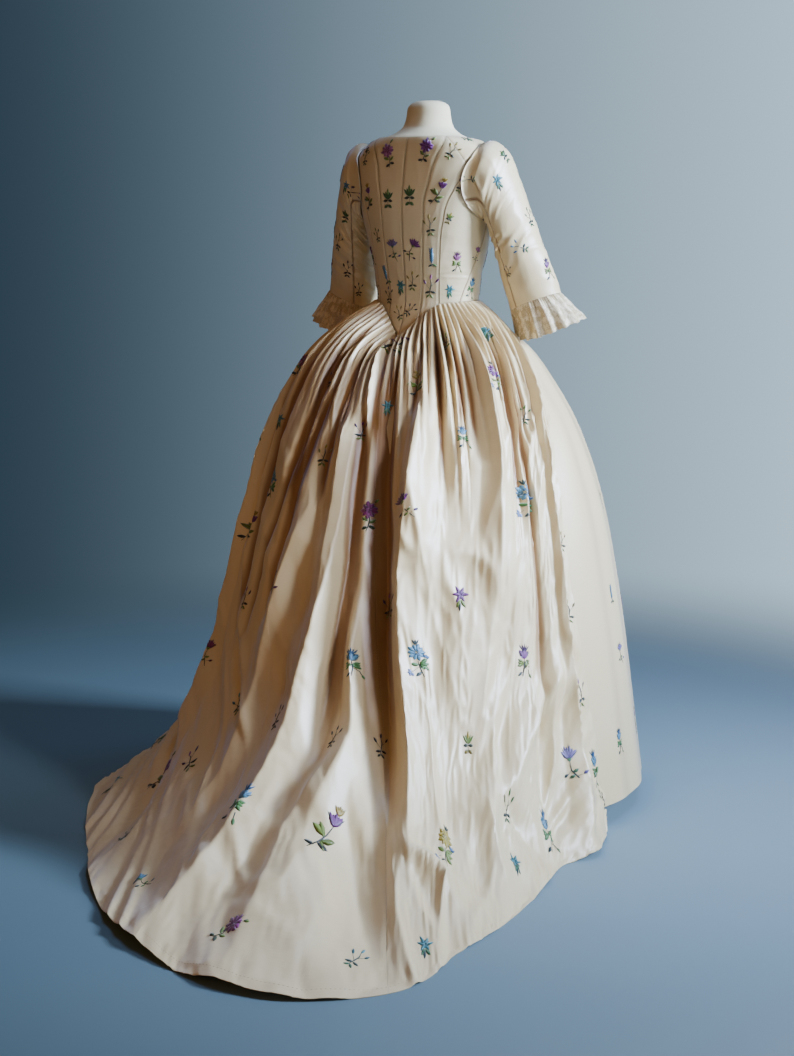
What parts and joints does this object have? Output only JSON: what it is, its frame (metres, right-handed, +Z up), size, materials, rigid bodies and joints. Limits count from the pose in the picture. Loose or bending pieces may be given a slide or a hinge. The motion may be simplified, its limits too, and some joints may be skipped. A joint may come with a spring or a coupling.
{
  "type": "english gown on a dress form",
  "caption": "English gown of sprigged ivory silk with a long train, open over its own petticoat, with lace cuff ruffles, on a limbless dress form and stand.",
  "frame": {"origin": "centre of the underside of the stand's round base, on the floor", "axes": "+Z up, the wearer faces -Y, the train runs out to +Y, +X is the wearer's left"},
  "size_m": [1.1971, 1.5962, 1.5285],
  "materials": {
    "silk_taffeta": "ivory silk taffeta with embroidered flower sprigs, soft sheen",
    "lace": "cream net lace with fine floral figures",
    "form_cover": "matt cream jersey cover",
    "stand_metal": "satin steel"
  },
  "bodies": {
    "root": {"form_torso": "form_cover", "stand_pole": "stand_metal", "stand_base": "stand_metal", "bodice_back_centre_left": "silk_taffeta", "bodice_back_centre_right": "silk_taffeta", "bodice_back_side_left": "silk_taffeta", "bodice_back_side_right": "silk_taffeta", "bodice_side_left": "silk_taffeta", "bodice_side_right": "silk_taffeta", "bodice_front_left": "silk_taffeta", "bodice_front_right": "silk_taffeta", "shoulder_strap_left": "silk_taffeta", "shoulder_strap_right": "silk_taffeta", "sleeve_upper_left": "silk_taffeta", "sleeve_upper_right": "silk_taffeta", "sleeve_under_left": "silk_taffeta", "sleeve_under_right": "silk_taffeta", "cuff_ruffle_left": "lace", "cuff_ruffle_right": "lace", "skirt_back": "silk_taffeta", "skirt_left": "silk_taffeta", "skirt_right": "silk_taffeta", "petticoat_back": "silk_taffeta", "petticoat_front": "silk_taffeta"}
  },
  "joints": []
}
